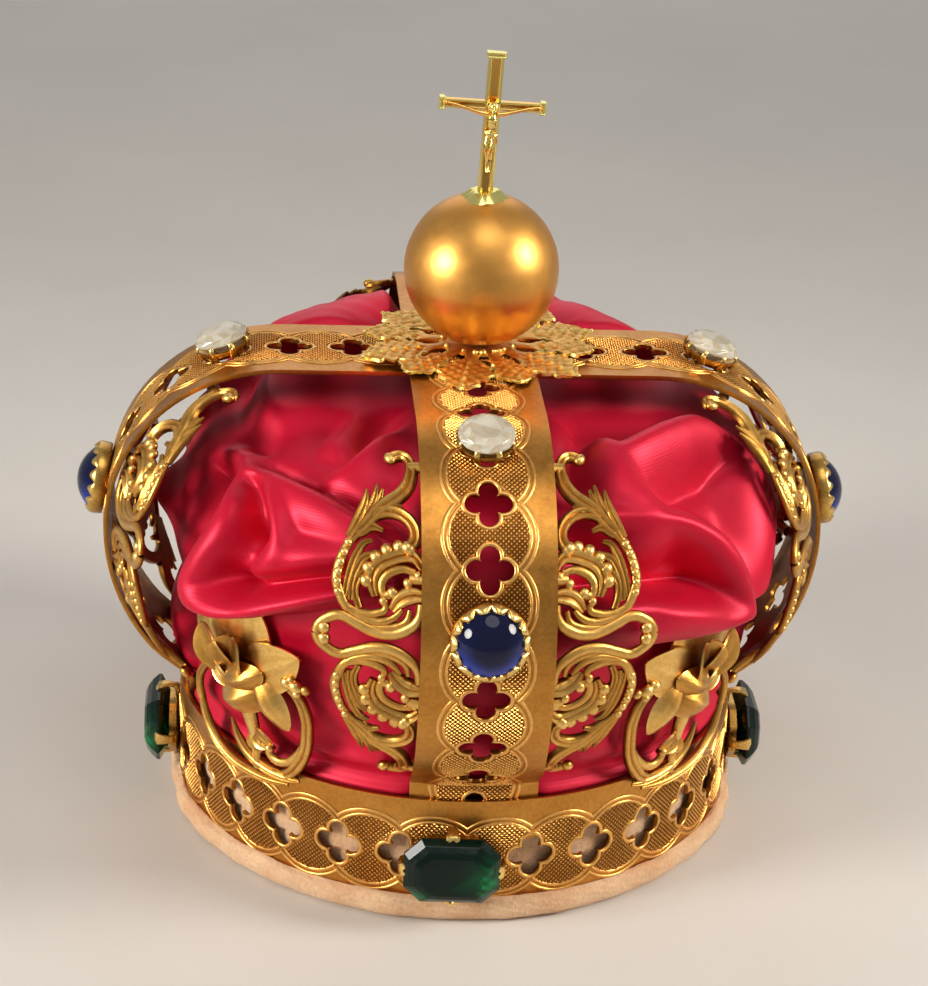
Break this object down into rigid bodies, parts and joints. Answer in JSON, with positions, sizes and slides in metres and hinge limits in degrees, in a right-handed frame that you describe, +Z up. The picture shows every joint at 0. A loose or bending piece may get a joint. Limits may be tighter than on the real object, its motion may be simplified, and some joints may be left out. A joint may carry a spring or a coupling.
{
  "type": "closed crown for a statue",
  "caption": "Small closed crown: pierced gilt band on a velvet lining, arched straps with scroll plates, glass stones, puffed satin cap, orb and crucifix.",
  "frame": {"origin": "on the floor under the crown's axis, at the middle of the velvet roll that it stands on", "axes": "+Z up along the crown's axis, -Y towards the front stone, +X to the right as seen from the front"},
  "size_m": [0.1526, 0.1524, 0.1532],
  "materials": {
    "gilt_strip": "antique gilt, bright on the ridges and brown in the ground",
    "gilt_bright": "bright gilt stamping",
    "gilt_satin": "satin gilt",
    "cream_velvet": "short-pile velvet",
    "red_satin": "lustrous satin",
    "green_glass": "faceted, foiled",
    "blue_glass": "polished dome",
    "clear_glass": "faceted, foiled"
  },
  "bodies": {
    "root": {"circlet_band": "gilt_strip", "velvet_lining": "cream_velvet", "front_back_strap": "gilt_strip", "side_strap": "gilt_strip", "front_right_scroll": "gilt_bright", "front_left_scroll": "gilt_bright", "right_back_scroll": "gilt_bright", "right_front_scroll": "gilt_bright", "back_left_scroll": "gilt_bright", "back_right_scroll": "gilt_bright", "left_front_scroll": "gilt_bright", "left_back_scroll": "gilt_bright", "front_right_spray": "gilt_bright", "front_left_spray": "gilt_bright", "back_left_spray": "gilt_bright", "back_right_spray": "gilt_bright", "front_green_stone": "green_glass", "right_green_stone": "green_glass", "back_green_stone": "green_glass", "left_green_stone": "green_glass", "front_green_claws": "gilt_bright", "right_green_claws": "gilt_bright", "back_green_claws": "gilt_bright", "left_green_claws": "gilt_bright", "front_blue_dome": "blue_glass", "right_blue_dome": "blue_glass", "back_blue_dome": "blue_glass", "left_blue_dome": "blue_glass", "front_blue_collet": "gilt_bright", "right_blue_collet": "gilt_bright", "back_blue_collet": "gilt_bright", "left_blue_collet": "gilt_bright", "front_clear_stone": "clear_glass", "right_clear_stone": "clear_glass", "back_clear_stone": "clear_glass", "left_clear_stone": "clear_glass", "front_clear_claws": "gilt_bright", "right_clear_claws": "gilt_bright", "back_clear_claws": "gilt_bright", "left_clear_claws": "gilt_bright", "satin_cap": "red_satin", "top_rosette": "gilt_bright", "orb": "gilt_satin", "cross_seat": "gilt_bright", "crucifix": "gilt_bright", "corpus": "gilt_bright"}
  },
  "joints": []
}
